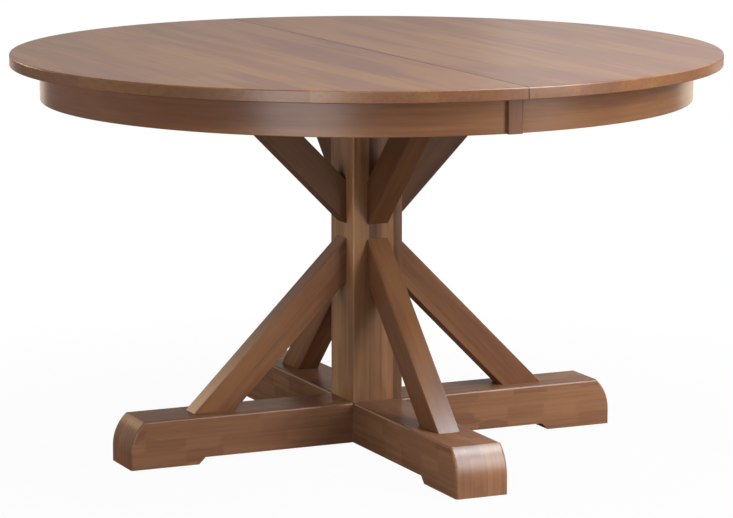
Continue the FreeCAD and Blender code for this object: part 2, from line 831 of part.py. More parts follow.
def screws_at_plates(side):
    piece = screw(plate_screw_diameter, plate_screw_length, plate_screw_head,
                  plate_screw_head_height)
    seat = top_under - lock_plate_thickness + plate_screw_head_height
    spread = lock_screw_spacing / 2
    x = side * lock_seam_distance
    copies = []
    for place in (-lock_place, lock_place):
        copies += [moved(piece, x, place + dy, seat) for dy in (-spread, spread)]
    return copies


def runner_screws(side):
    return runner_screw_set(screw(wood_screw_diameter, runner_screw_length, wood_screw_head,
                                  wood_screw_head_height), side)


def board_screws():
    piece = flipped(screw(wood_screw_diameter, board_screw_length, wood_screw_head,
                          wood_screw_head_height))
    return at_quarters(moved(piece, board_screw_place, 0, rail_bottom - wood_screw_head_height))


def rail_screws():
    piece = screw(wood_screw_diameter, rail_screw_length, wood_screw_head,
                  wood_screw_head_height)
    seat = board_bottom + wood_screw_head_height
    return [moved(piece, x, y, seat) for y in slide_lines.values() for x in rail_screw_places()]


def brace_screws(length, place, seat, downwards):
    piece = screw(brace_screw_diameter, length, brace_screw_head, brace_screw_head_height)
    if downwards:
        piece = flipped(piece)
    return at_quarters(moved(piece, place, 0, seat))


nodes = {
    "post": post(),
    "foot_beam_left_right": foot_beam(True),
    "foot_beam_front_back": foot_beam(False),
    "foot_glides": foot_glides(),
    "cleat_left_right": cleat(True),
    "cleat_front_back": cleat(False),
    "mounting_board": mounting_board(),
    "foot_lag_bolts": at_lag_corners(lag_bolt(), foot_lag_seat),
    "foot_washers": at_lag_corners(lag_washer(), foot_lag_seat),
    "cleat_lag_bolts": at_lag_corners(flipped(lag_bolt()), cleat_lag_seat),
    "cleat_washers": at_lag_corners(flipped(lag_washer()), cleat_lag_seat),
    "lower_brace_screws": brace_screws(lower_screw_length, lower_screw_place,
                                       lower_screw_seat, False),
    "upper_brace_screws": brace_screws(upper_screw_length, upper_screw_place,
                                       upper_screw_seat, True),
    "lower_brace_dowels": at_quarters(dowel(lower_dowel_level, 0)),
    "upper_brace_dowels": at_quarters(dowel(upper_dowel_level, 0)),
    "board_screws": board_screws(),
    "rail_screws": rail_screws(),
    "alignment_pins": alignment_pins(),
}

for where, angle in QUARTER_TURNS.items():
    nodes[f"lower_brace_{where}"] = turned(lower_brace(), angle)
    nodes[f"upper_brace_{where}"] = turned(upper_brace(), angle)

for where, line in slide_lines.items():
    nodes[f"centre_rail_{where}"] = centre_rail(line)
    nodes[f"gear_axle_{where}"] = gear_axle(line)
    nodes[f"pinion_{where}"] = pinion(line)

for hand, side in (("left", -1), ("right", 1)):
    nodes[f"top_{hand}"] = top_half(side)
    nodes[f"apron_{hand}"] = apron_half(side)
    nodes[f"apron_blocks_{hand}"] = apron_blocks(side)
    nodes[f"runner_screws_{hand}"] = runner_screws(side)
    for where, line in slide_lines.items():
        nodes[f"runner_{hand}_{where}"] = runner(side, line)
        nodes[f"rack_{hand}_{where}"] = rack(side, line)

nodes["cover_strip_front"] = cover_strip(1)
nodes["cover_strip_back"] = cover_strip(-1)
nodes["lock_plates"] = [lock_plate(-1, -lock_place), lock_plate(-1, lock_place)]
nodes["lock_pivots"] = [lock_pin(-1, -lock_place), lock_pin(-1, lock_place)]
nodes["lock_plate_screws"] = screws_at_plates(-1)
nodes["catch_plates"] = [lock_plate(1, -lock_place), lock_plate(1, lock_place)]
nodes["catch_studs"] = [lock_pin(1, -lock_place), lock_pin(1, lock_place)]
nodes["catch_plate_screws"] = screws_at_plates(1)
nodes["lock_lever_front"] = lock_lever(-lock_place)
nodes["lock_lever_back"] = lock_lever(lock_place)

os.makedirs("parts", exist_ok=True)
for name, shape in nodes.items():
    if isinstance(shape, list):
        shape = Part.makeCompound(shape)
    shape.exportStep(f"parts/{name}.step")
    print(name, len(shape.Solids), shape.isValid(), round(shape.Volume))
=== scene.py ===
import math

import bmesh
import bpy
from mathutils import Matrix, Vector


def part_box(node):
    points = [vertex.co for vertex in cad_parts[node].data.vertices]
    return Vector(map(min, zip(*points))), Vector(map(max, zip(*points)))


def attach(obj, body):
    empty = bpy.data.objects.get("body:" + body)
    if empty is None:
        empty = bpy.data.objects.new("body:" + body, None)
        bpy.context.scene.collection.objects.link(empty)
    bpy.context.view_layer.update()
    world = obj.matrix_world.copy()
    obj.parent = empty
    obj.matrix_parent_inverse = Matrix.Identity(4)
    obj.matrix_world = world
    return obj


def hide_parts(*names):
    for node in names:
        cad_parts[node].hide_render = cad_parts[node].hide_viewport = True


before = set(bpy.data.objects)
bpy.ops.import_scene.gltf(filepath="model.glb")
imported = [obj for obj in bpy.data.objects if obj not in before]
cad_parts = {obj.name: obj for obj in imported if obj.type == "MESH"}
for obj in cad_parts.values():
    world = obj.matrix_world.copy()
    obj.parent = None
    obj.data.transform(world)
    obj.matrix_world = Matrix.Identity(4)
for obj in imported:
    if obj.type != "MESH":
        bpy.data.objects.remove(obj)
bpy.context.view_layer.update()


# Camera: low and far back, turned towards the table's left front, as the photographer
# stood. The height is over the floor, and the lens is a long one.
camera_bearing = math.radians(24.4549)
camera_distance = 6.4122
camera_height = 1.4495
camera_dip = math.radians(9.6027)
camera_lens = 163.84
camera = bpy.data.objects.new("camera", bpy.data.cameras.new("camera"))
bpy.context.scene.collection.objects.link(camera)
bpy.context.scene.camera = camera
camera.data.lens = camera_lens
camera.location = (-camera_distance * math.sin(camera_bearing),
                   -camera_distance * math.cos(camera_bearing), camera_height)
camera.rotation_euler = (math.pi / 2 - camera_dip, 0, -camera_bearing)


# Top: two half rounds of solid boards about 100 mm wide, glued edge to edge along the
# seam, with a rounded rim and an eased seam, stained warm brown and lacquered satin. Pins
# in the seam face line them up. Grain is given in waves per metre across, through, along.
seam_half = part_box("top_right")[0].x
top_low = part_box("top_right")[0].z
top_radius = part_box("top_right")[1].x
top_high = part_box("top_right")[1].z
rim_round = 0.003
under_round = 0.0015
seam_ease = 0.0007
round_steps = 288
pin_radius = 0.00475
pin_shares = (-0.8, -0.4, 0.0, 0.4, 0.8)
socket_play = 0.0003
socket_depth = 0.021
seam_place = 3.0
# The seam's colour is painted shade: it darkens the seam faces and a thin line of the top beside
# them, where the gap between the halves lies in shade.
seam_shade_width = 0.0014
seam_painted_shade = (0.02, 0.006, 0.003)
# The rim's colour is partly the deeper stain that end grain takes up and partly painted shade.
rim_stain_and_shade = (0.06, 0.027, 0.012)
lacquer_roughness = 0.28
relief_depth = 0.00012
joint_width = 0.0006
sway_grain = (5.0, 5.0, 0.8)
broad_grain = (15.0, 15.0, 1.5)
blotch_grain = (70.0, 70.0, 12.0)
streak_grain = (150.0, 150.0, 3.0)
pore_grain = (900.0, 900.0, 30.0)
block_grain = (38.0, 42.0, 13.0)
sway_reach = (0.02, 0.02, 0.0)
stave_shift = (0.31, 0.17, 2.3)
hair = 1e-6
flat_turn = 1e-4
sharp_turn = math.radians(31)
bore_sides = 40


class Stain:
    """A value, colour or direction in a finish. Arithmetic on it adds Math nodes."""

    def __init__(self, tree, socket=None):
        self.tree = tree
        self.socket = socket

    def node(self, kind, out=0, sockets=None, **settings):
        made = self.tree.nodes.new("ShaderNode" + kind)
        for setting, value in settings.items():
            setattr(made, setting, value)
        for name, value in (sockets or {}).items():
            if isinstance(value, Stain):
                self.tree.links.new(value.socket, made.inputs[name])
            else:
                made.inputs[name].default_value = value
        return Stain(self.tree, made.outputs[out] if made.outputs else None)

    def math(self, operation, first, second):
        return self.node("Math", operation=operation, sockets={0: first, 1: second})

    def __add__(self, other):
        return self.math("ADD", self, other)

    def __sub__(self, other):
        return self.math("SUBTRACT", self, other)

    def __rsub__(self, other):
        return self.math("SUBTRACT", other, self)

    def __mul__(self, other):
        return self.math("MULTIPLY", self, other)

    def __truediv__(self, other):
        return self.math("DIVIDE", self, other)

    __radd__ = __add__

    def between(self, low, high):
        """0 at low, 1 at high, and level beyond them."""
        return self.node("MapRange", sockets={"Value": self, "From Min": low, "From Max": high})

    def mixed(self, first, second, share):
        """Two colours mixed by a share. A plain colour is given by its three numbers."""
        first, second = [c if isinstance(c, Stain) else (*c, 1.0) for c in (first, second)]
        return self.node("Mix", out=2, data_type="RGBA", sockets={0: share, 6: first, 7: second})

    def stretched(self, across, through, along):
        """This place, with the grain's frequencies per metre in its three directions."""
        return self.node("VectorMath", operation="MULTIPLY",
                         sockets={0: self, 1: (across, through, along)})

    def cloud(self, detail=2.0, rough=0.5):
        """Noise at this place, from 0 to 1."""
        return self.node("TexNoise", sockets={"Vector": self, "Scale": 1.0, "Detail": detail,
                                              "Roughness": rough})

    def shifted(self, offset, size):
        """This place, pushed about by a colour's three channels."""
        push = self.node("VectorMath", operation="MULTIPLY", sockets={0: offset, 1: size})
        return self.node("VectorMath", operation="ADD", sockets={0: self, 1: push})


def new_finish(name):
    material = bpy.data.materials.new(name)
    material.use_nodes = True
    material.node_tree.nodes.clear()
    return material, Stain(material.node_tree)


def surfaced(stain, base, roughness, height, depth, sockets=None):
    """Ends a finish: its colour, gloss and relief go into one surface."""
    relief = stain.node("Bump", sockets={"Height": height, "Strength": 1.0, "Distance": depth})
    surface = stain.node("BsdfPrincipled", sockets={"Base Color": base, "Roughness": roughness,
                                                    "Normal": relief, **(sockets or {})})
    stain.node("OutputMaterial", sockets={"Surface": surface})


def stained_wood(name, tan, rose, dark, side_sheen, top_sheen, stave_width=None,
                 stave_share=0.35, upright_stain_and_shade=0.0, block_share=0.0, lacquer_index=1.8):
    """Stained timber, read from each piece's own grain, under a satin lacquer. It can be
    glued up from staves, and these from short blocks. Its gloss is given for upright faces
    and for faces that look up; those that look down are dull."""
    material, stain = new_finish(name)
    place = stain.node("Attribute", out="Vector", attribute_name="grain")
    if block_share:
        block = stain.node("TexVoronoi", out="Color", feature="SMOOTH_F1", distance="CHEBYCHEV",
                           sockets={"Vector": place.stretched(*block_grain), "Scale": 1.0,
                                    "Smoothness": 0.15, "Randomness": 0.45})
    if stave_width:
        across = stain.node("SeparateXYZ", sockets={0: place})
        cell = {"W": across / stave_width, "Scale": 1.0, "Randomness": 0.35}
        stave = stain.node("TexVoronoi", out="Color", voronoi_dimensions="1D", sockets=cell)
        joint = stain.node("TexVoronoi", out="Distance", voronoi_dimensions="1D",
                           feature="DISTANCE_TO_EDGE", sockets=cell)
        place = place.shifted(stave, stave_shift)
    sway = place.stretched(*sway_grain).cloud(detail=1.0)
    swayed = place.shifted(sway, sway_reach)
    broad = swayed.stretched(*broad_grain).cloud(detail=2.0)
    blotch = swayed.stretched(*blotch_grain).cloud(detail=2.0)
    streak = swayed.stretched(*streak_grain).cloud(detail=4.0, rough=0.6)
    pores = swayed.stretched(*pore_grain).cloud(detail=1.0).between(0.6, 0.72)
    tone = broad.between(0.44, 0.56) * 0.8 + blotch.between(0.4, 0.6) * 0.2
    facing = stain.node("SeparateXYZ", out="Z",
                        sockets={0: stain.node("NewGeometry", out="Normal")})
    if stave_width:
        # On upright faces the staves show more, by the same share that darkens them with stain
        # and painted shade.
        upright = 1 - facing.between(0.2, 0.8)
        share = upright * upright_stain_and_shade + stave_share
        tone = tone * (1 - share) + stain.node("SeparateColor", sockets={0: stave}) * share
    if block_share:
        block_tone = stain.node("SeparateColor", sockets={0: block})
        tone = tone * (1 - block_share) + block_tone * block_share
    colour = stain.mixed(tan, rose, tone)
    colour = stain.mixed(colour, dark, streak.between(0.45, 0.7) * 0.3)
    colour = stain.mixed(colour, dark, pores * 0.15)
    if stave_width:
        glued = 1 - joint.between(0.0, joint_width / stave_width)
        colour = stain.mixed(colour, dark, glued * 0.2)
    # Upright faces are darkened, partly by the deeper stain that end grain takes up and partly by
    # painted shade.
    if upright_stain_and_shade:
        colour = stain.mixed(colour, rim_stain_and_shade, upright * upright_stain_and_shade)
        # Painted shade on the seam faces and along the seam on the top, where the gap between the
        # halves is shaded.
        from_seam = across.math("ABSOLUTE", across, 0.0) - seam_place
        colour = stain.mixed(colour, seam_painted_shade, 0.8 - from_seam.between(0.0, seam_shade_width) * 0.8)
    sheen = (facing.between(-0.6, 0.0) * 0.5 + 0.5) * side_sheen
    sheen = sheen + facing.between(-0.02, 0.3) * (top_sheen - side_sheen)
    surfaced(stain, colour, 0.6, streak * 0.4 - pores * 0.6, relief_depth,
             {"Specular IOR Level": 0.0, "Coat Weight": sheen,
              "Coat Roughness": lacquer_roughness, "Coat IOR": lacquer_index})
    return material


def sawn(bm, at, away):
    """Cuts off what lies beyond a plane and closes the cut."""
    cut = bmesh.ops.bisect_plane(bm, geom=bm.verts[:] + bm.edges[:] + bm.faces[:], dist=hair,
                                 plane_co=at, plane_no=away, clear_outer=True)
    edges = [e for e in cut["geom_cut"] if isinstance(e, bmesh.types.BMEdge)]
    bmesh.ops.holes_fill(bm, edges=edges)


def rounded(bm, items, size, steps=4, affect="EDGES", clamped=True):
    bmesh.ops.bevel(bm, geom=items, offset=size, segments=steps, profile=0.5, affect=affect,
                    material=-1, clamp_overlap=clamped)


def turned(outline):
    """A full turn about the table's axis of a profile of (radius, height, round) corners."""
    bm = bmesh.new()
    corners = [bm.verts.new((radius, 0, height)) for radius, height, size in outline]
    profile = bm.faces.new(corners)
    for corner, (radius, height, size) in zip(corners, outline):
        if size:
            rounded(bm, [corner], size, affect="VERTICES")
    bmesh.ops.delete(bm, geom=bm.faces[:], context="FACES_ONLY")
    on_axis = [e for e in bm.edges if all(v.co.x == 0 for v in e.verts)]
    bmesh.ops.delete(bm, geom=on_axis, context="EDGES")
    bmesh.ops.spin(bm, geom=bm.verts[:] + bm.edges[:], cent=(0, 0, 0), axis=(0, 0, 1),
                   angle=math.tau, steps=round_steps, use_merge=True)
    bmesh.ops.remove_doubles(bm, verts=bm.verts[:], dist=hair)
    bmesh.ops.dissolve_limit(bm, angle_limit=flat_turn, verts=bm.verts[:], edges=bm.edges[:])
    return bm


def made(name, bm, finish, slot, body, *nodes):
    """Makes a piece of a mesh, and puts it in its CAD nodes' place."""
    bmesh.ops.recalc_face_normals(bm, faces=bm.faces[:])
    mesh = bpy.data.meshes.new(name)
    bm.to_mesh(mesh)
    bm.free()
    mesh.shade_smooth()
    mesh.set_sharp_from_angle(angle=sharp_turn)
    mesh.materials.append(finish)
    piece = bpy.data.objects.new(name, mesh)
    bpy.context.scene.collection.objects.link(piece)
    piece.modifiers.new("even_shading", "WEIGHTED_NORMAL").keep_sharp = True
    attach(piece, body)
    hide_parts(*nodes)
    return piece


def drilled(bm, bores):
    """Cuts round holes, each given by its mouth, its bottom and its radius."""
    mesh = bpy.data.meshes.new("undrilled")
    bmesh.ops.recalc_face_normals(bm, faces=bm.faces[:])
    bm.to_mesh(mesh)
    bm.free()
    drills = bmesh.new()
    for mouth, bottom, radius in bores:
        way = Vector(bottom) - Vector(mouth)
        aim = way.to_track_quat("Z", "Y").to_matrix().to_4x4()
        place = Matrix.Translation((Vector(mouth) + Vector(bottom)) / 2) @ aim
        bmesh.ops.create_cone(drills, cap_ends=True, segments=bore_sides, radius1=radius,
                              radius2=radius, depth=way.length, matrix=place)
    drill_mesh = bpy.data.meshes.new("drills")
    drills.to_mesh(drill_mesh)
    drills.free()
    piece = bpy.data.objects.new("undrilled", mesh)
    drill = bpy.data.objects.new("drills", drill_mesh)
    for item in (piece, drill):
        bpy.context.scene.collection.objects.link(item)
    cut = piece.modifiers.new("bores", "BOOLEAN")
    cut.object = drill
    cut.solver = "EXACT"
    bored = piece.evaluated_get(bpy.context.evaluated_depsgraph_get())
    done = bmesh.new()
    done.from_mesh(bored.to_mesh())
    for item in (piece, drill):
        bpy.data.objects.remove(item)
    return done


def lay_grain(piece, across, along, start, bent=False):
    """Gives each corner of each face its place in the timber that the piece is cut from:
    across, through and along the grain, counted from the start. Bent grain runs on over the
    ends of the piece, down from its top."""
    across, along = Vector(across).normalized(), Vector(along).normalized()
    through = along.cross(across)
    mesh = piece.data
    grain = mesh.attributes.new("grain", "FLOAT_VECTOR", "CORNER")
    top = max(vertex.co.z for vertex in mesh.vertices)
    for face in mesh.polygons:
        over = bent and abs(face.normal.dot(across)) < 0.5
        for corner in face.loop_indices:
            at = mesh.vertices[mesh.loops[corner].vertex_index].co
            length = at.dot(along)
            if over:
                length = math.copysign(abs(length) + top - at.z, length)
                place = Vector((at.dot(across), 0, length))
            else:
                place = Vector((at.dot(across), at.dot(through), length))
            grain.data[corner].vector = place + Vector(start)


# Its rim is darkened partly by end-grain stain and partly by painted shade, and its seam by
# painted shade.
top_finish = stained_wood("satin_top_boards", tan=(0.350, 0.165, 0.060),
                          rose=(0.215, 0.085, 0.050), dark=(0.12, 0.042, 0.022),
                          side_sheen=0.40, top_sheen=0.72, stave_width=0.098,
                          upright_stain_and_shade=0.34)
pin_level = (top_low + top_high) / 2
pin_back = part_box("alignment_pins")[1].x
for hand, side in (("left", -1), ("right", 1)):
    bm = turned([(0, top_low, 0), (top_radius, top_low, under_round),
                 (top_radius, top_high, rim_round), (0, top_high, 0)])
    edge = side * seam_half
    sawn(bm, (edge, 0, 0), (-side, 0, 0))
    sawn(bm, (edge, 0, top_high - seam_ease), (-side, 0, 1))
    sawn(bm, (edge, 0, top_low + seam_ease), (-side, 0, -1))
    radius = pin_radius if side > 0 else pin_radius + socket_play
    bottom = pin_back if side > 0 else -seam_half - socket_depth
    bm = drilled(bm, [((-edge, top_radius * share, pin_level),
                       (bottom, top_radius * share, pin_level), radius) for share in pin_shares])
    half = made(f"board_top_{hand}", bm, top_finish, "top_wood", f"{hand}_half", f"top_{hand}")
    lay_grain(half, across=(1, 0, 0), along=(0, 1, 0),
              start=(side * seam_place - edge, 0, side * 5.0))


# Apron: each half is bent from laminations glued round a form, and stands in from the
# rim. Its grain runs round the ring. It is glued to the top through blocks behind it.
apron_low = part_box("apron_right")[0].z
apron_radius = -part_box("apron_right")[0].y
apron_thickness = 0.019
apron_ease = 0.0015
apron_finish = stained_wood("satin_bent_apron", tan=(0.275, 0.124, 0.052),
                            rose=(0.190, 0.078, 0.038), dark=(0.10, 0.038, 0.018),
                            side_sheen=0.7, top_sheen=0.7, lacquer_index=1.5)


def bend_grain(piece, radius, start):
    """Grain that runs round the table's axis, measured from the front of the seam."""
    grain = piece.data.attributes.new("grain", "FLOAT_VECTOR", "POINT")
    for vertex, place in zip(piece.data.vertices, grain.data):
        at = vertex.co
        turn = math.atan2(at.x, -at.y)
        place.vector = Vector((at.z, math.hypot(at.x, at.y), turn * radius)) + Vector(start)


for hand, side in (("left", -1), ("right", 1)):
    bm = turned([(apron_radius - apron_thickness, apron_low, 0),
                 (apron_radius, apron_low, apron_ease), (apron_radius, top_low, 0),
                 (apron_radius - apron_thickness, top_low, 0)])
    sawn(bm, (side * seam_half, 0, 0), (-side, 0, 0))
    half = made(f"bent_apron_{hand}", bm, apron_finish, "apron_wood", f"{hand}_half",
                f"apron_{hand}")
    bend_grain(half, apron_radius, start=(0, side * 2.0, side * 7.0))


# Cover strips: short upright laths over the apron's two joints, each glued to one half
# of the apron and lapping the other, with their outer corners well rounded.
strip_round = 0.0045
strip_seat = 0.0003
strip_slip = 0.0005
strip_low, strip_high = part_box("cover_strip_front")


def drawn_out(outline, way):
    """A solid with a flat outline, drawn out along a straight way."""
    bm = bmesh.new()
    bm.faces.new([bm.verts.new(corner) for corner in outline])
    grown = bmesh.ops.extrude_face_region(bm, geom=bm.faces[:])["geom"]
    bmesh.ops.translate(bm, verts=[v for v in grown if isinstance(v, bmesh.types.BMVert)],
                        vec=Vector(way))
    return bm


for end, side in (("front", 1), ("back", -1)):
    lap_back = -apron_radius - strip_slip
    seat_back = -apron_radius + strip_seat
    outline = [(strip_low.x, strip_low.y), (strip_high.x, strip_low.y), (strip_high.x, seat_back),
               (seam_half, seat_back), (seam_half, lap_back), (strip_low.x, lap_back)]
    bm = drawn_out([(side * x, side * y, apron_low) for x, y in outline],
                   (0, 0, top_low - apron_low))
    front = side * strip_low.y
    corners = [e for e in bm.edges if all(abs(v.co.y - front) < hair for v in e.verts)
               and abs(e.verts[0].co.z - e.verts[1].co.z) > apron_ease]
    rounded(bm, corners, strip_round, steps=6)
    strip = made(f"joint_strip_{end}", bm, apron_finish, "apron_wood",
                 "right_half" if side > 0 else "left_half", f"cover_strip_{end}")
    lay_grain(strip, across=(1, 0, 0), along=(0, 0, 1), start=(0.4 * side, 0.2, 4.7))


# Post: one square leg glued up from four staves, light and dark, with barely eased
# corners. It stands on the crossed feet and is held by lag bolts from below and above.
post_low, post_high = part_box("post")
post_round = 0.002
post_timber = (0.1693, 0.3, 0.2)
leg_stave = 0.02625
post_finish = stained_wood("satin_square_post", tan=(0.445, 0.227, 0.103),
                           rose=(0.040, 0.012, 0.006), dark=(0.08, 0.030, 0.014),
                           side_sheen=0.25, top_sheen=0.25, stave_width=leg_stave,
                           stave_share=0.6)
bm = drawn_out([(post_low.x, post_low.y, post_low.z), (post_high.x, post_low.y, post_low.z),
                (post_high.x, post_high.y, post_low.z), (post_low.x, post_high.y, post_low.z)],
               (0, 0, post_high.z - post_low.z))
rounded(bm, [e for e in bm.edges if abs(e.verts[0].co.z - e.verts[1].co.z) > post_high.x],
        post_round)
post = made("square_post", bm, post_finish, "pedestal_wood", "pedestal", "post")
lay_grain(post, across=(1, 0, 0), along=(0, 0, 1), start=post_timber)


# Braces: four fall from the post's waist to the feet and four rise from it to the
# cleats, each cut from one square stick at 45 degrees, with a long screw and a dowel.
brace_ease = 0.0015
brace_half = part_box("lower_brace_right")[1].y
quarter_turns = {"right": 0, "back": 1, "left": 2, "front": 3}
brace_depth = 0.060
brace_cut = brace_depth * math.sqrt(2)
slant_reach = 0.05
brace_finish = {
    "lower": stained_wood("satin_lower_braces", tan=(0.270, 0.124, 0.053),
                          rose=(0.186, 0.078, 0.038), dark=(0.09, 0.034, 0.016),
                          side_sheen=0.15, top_sheen=0.68),
    # The upper braces' stain is a darker copy of the lower one: painted shade for their place
    # under the top.
    "upper": stained_wood("satin_upper_braces_shaded", tan=(0.135, 0.057, 0.024),
                          rose=(0.095, 0.038, 0.017), dark=(0.06, 0.022, 0.010),
                          side_sheen=0.18, top_sheen=0.45)}
for place, tip, rise in (("lower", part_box("lower_brace_right")[1].z, -1),
                         ("upper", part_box("upper_brace_right")[0].z, 1)):
    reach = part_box(f"{place}_brace_right")[1].x
    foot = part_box(f"{place}_brace_right")[0 if rise < 0 else 1].z
    for where, turns in quarter_turns.items():
        bm = drawn_out([(post_high.x, -brace_half, tip), (reach, -brace_half, foot),
                        (reach - brace_cut, -brace_half, foot),
                        (post_high.x, -brace_half, tip + rise * brace_cut)],
                       (0, brace_half * 2, 0))
        spans = [(edge, edge.verts[0].co - edge.verts[1].co) for edge in bm.edges]
        long_edges = [edge for edge, span in spans if min(abs(span.x), abs(span.z)) > slant_reach]
        rounded(bm, long_edges, brace_ease, steps=3)
        turn = Matrix.Rotation(math.pi / 2 * turns, 4, "Z")
        bmesh.ops.transform(bm, matrix=turn, verts=bm.verts[:])
        brace = made(f"{place}_stick_{where}", bm, brace_finish[place], "pedestal_wood",
                     "pedestal", f"{place}_brace_{where}")
        lay_grain(brace, across=turn @ Vector((0, 1, 0)), along=turn @ Vector((1, 0, rise)),
                  start=(0.7 * turns + rise, 0.9, 1.7 * turns))


# Cross foot: two heavy beams of glued blocks, halved into each other under the post. Each
# end drops in a round nose, its edges are rounded over, and the middle of the underside
# is cut away so that only the four pads stand on the floor.
foot_low, foot_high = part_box("foot_beam_left_right")
foot_reach = foot_high.x
nose_radius = 0.082
nose_drop = 0.062
nose_steps = 20
pad_length = 0.138
stave_start = 1.4214
pad_relief = 0.013
foot_round = 0.005
lag_spacing = 0.050
lag_recess = 0.014
washer_radius = 0.0122
screw_recess = 0.014
screw_head_radius = 0.0062
foot_finish = stained_wood("satin_cross_foot", tan=(0.310, 0.153, 0.078),
                           rose=(0.205, 0.096, 0.056), dark=(0.10, 0.040, 0.020),
                           side_sheen=0.05, top_sheen=0.28, stave_width=leg_stave,
                           stave_share=0.5, block_share=0.65)
nose_start = foot_high.z - nose_drop
nose_top_turn = math.asin(nose_drop / nose_radius)
relief_top = foot_low.z + pad_relief
half_lap = (relief_top + foot_high.z) / 2
nose_arc = [(foot_reach - nose_radius * (1 - math.cos(nose_top_turn * i / nose_steps)),
             nose_start + nose_radius * math.sin(nose_top_turn * i / nose_steps))
            for i in range(nose_steps + 1)]
end_outline = [(foot_reach - pad_length - pad_relief, relief_top),
               (foot_reach - pad_length, foot_low.z), (foot_reach, foot_low.z)] + nose_arc
upper_notch = [(post_high.x, foot_high.z), (post_high.x, half_lap)]
lower_notch = [(post_high.x, relief_top), (post_high.x, half_lap)]
screw_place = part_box("lower_brace_screws")[1].x - screw_head_radius
for name, turns, notch_above in (("left_right", 0, True), ("front_back", 1, False)):
    half = end_outline + upper_notch if notch_above else lower_notch[::-1] + end_outline
    outline = half + [(-x, z) for x, z in reversed(half)]
    bm = drawn_out([(x, -post_high.x, z) for x, z in outline], (0, post_high.x * 2, 0))
    round_edges = []
    for edge in bm.edges:
        a, b = edge.verts[0].co, edge.verts[1].co
        on_side = abs(a.y - b.y) < hair
        beyond_post = min(abs(a.x), abs(b.x)) > post_high.x - hair
        on_top = min(a.z, b.z) > nose_start - hair and abs(a.x - b.x) > hair
        at_end = min(abs(a.x), abs(b.x)) > foot_reach - hair
        if on_side and beyond_post and (on_top or at_end):
            round_edges.append(edge)
    rounded(bm, round_edges, foot_round, clamped=False)
    bores = []
    for sx in (-1, 1):
        bores.append(((sx * screw_place, 0, foot_low.z),
                      (sx * screw_place, 0, relief_top + screw_recess), screw_head_radius))
        for sy in (-1, 1):
            if notch_above:
                x, y = sx * lag_spacing / 2, sy * lag_spacing / 2
                bores.append(((x, y, foot_low.z), (x, y, relief_top + lag_recess), washer_radius))
    bm = drilled(bm, bores)
    turn = Matrix.Rotation(math.pi / 2 * turns, 4, "Z")
    bmesh.ops.transform(bm, matrix=turn, verts=bm.verts[:])
    beam = made(f"foot_{name}", bm, foot_finish, "foot_wood", "pedestal", f"foot_beam_{name}")
    lay_grain(beam, across=turn @ Vector((0, 1, 0)), along=turn @ Vector((1, 0, 0)),
              start=(stave_start, 0.2, 3.1 * turns), bent=True)


# Inner timber: the crossed cleats, the mounting board, the slides and the glue blocks are
# pale, close-grained wood, planed and left without stain. Each is cut along its length.
bare_pale = (0.56, 0.40, 0.25)
bare_streak = (0.42, 0.27, 0.15)
turn_to_x = (0, math.pi / 2, 0)
turn_to_y = (math.pi / 2, 0, 0)
dowel_pale = (0.66, 0.50, 0.33)
dowel_streak = (0.52, 0.36, 0.21)
bare_sway = (6.0, 6.0, 1.0)
bare_grain = (90.0, 90.0, 3.5)
bare_pores = (1100.0, 1100.0, 40.0)
bare_relief = 0.0002


def bare_wood(name, pale, dark, turn):
    """Planed bare timber on a part of the frame, its grain turned along the piece."""
    material, stain = new_finish(name)
    place = stain.node("TexCoord", out="Object")
    place = stain.node("Mapping", sockets={"Vector": place, "Rotation": turn})
    sway = place.stretched(*bare_sway).cloud(detail=1.0)
    place = place.shifted(sway, sway_reach)
    streak = place.stretched(*bare_grain).cloud(detail=4.0, rough=0.6)
    pores = place.stretched(*bare_pores).cloud(detail=1.0).between(0.6, 0.7)
    colour = stain.mixed(pale, dark, streak.between(0.3, 0.75))
    colour = stain.mixed(colour, dark, pores * 0.5)
    surfaced(stain, colour, 0.62 + streak * 0.15, streak * 0.5 - pores, bare_relief)
    return material


def carry(finish, *nodes):
    """Gives CAD nodes their finish; their shapes stay as they are."""
    for name in nodes:
        for material_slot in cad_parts[name].material_slots:
            material_slot.material = finish


carry(bare_wood("bare_wood_lengthwise", bare_pale, bare_streak, turn_to_x),
      "cleat_left_right", "mounting_board", "centre_rail_front", "centre_rail_back",
      "runner_left_front", "runner_left_back", "runner_right_front", "runner_right_back")
carry(bare_wood("bare_wood_crosswise", bare_pale, bare_streak, turn_to_y),
      "cleat_front_back", "apron_blocks_left", "apron_blocks_right")
carry(bare_wood("birch_dowel", dowel_pale, dowel_streak, turn_to_x),
      "alignment_pins", "lower_brace_dowels", "upper_brace_dowels")


# Gear parts: the pinions and racks of the slides are moulded in natural nylon, and the
# glides under the feet in black nylon, both with a faint grain from the mould.
nylon_haze = (60.0, 60.0, 60.0)
mould_grain = (1500.0, 1500.0, 1500.0)
mould_relief = 0.00005
natural_nylon = ((0.66, 0.62, 0.52), (0.58, 0.54, 0.44))
black_nylon = ((0.035, 0.033, 0.031), (0.05, 0.047, 0.044))


def moulded_nylon(name, colour, deeper):
    material, stain = new_finish(name)
    place = stain.node("TexCoord", out="Object")
    haze = place.stretched(*nylon_haze).cloud(detail=3.0)
    grain = place.stretched(*mould_grain).cloud(detail=2.0)
    base = stain.mixed(colour, deeper, haze.between(0.3, 0.7))
    surfaced(stain, base, 0.45 + grain * 0.15, grain, mould_relief)
    return material


carry(moulded_nylon("natural_nylon", *natural_nylon), "pinion_front", "pinion_back",
      "rack_left_front", "rack_left_back", "rack_right_front", "rack_right_back")
carry(moulded_nylon("black_nylon", *black_nylon), "foot_glides")


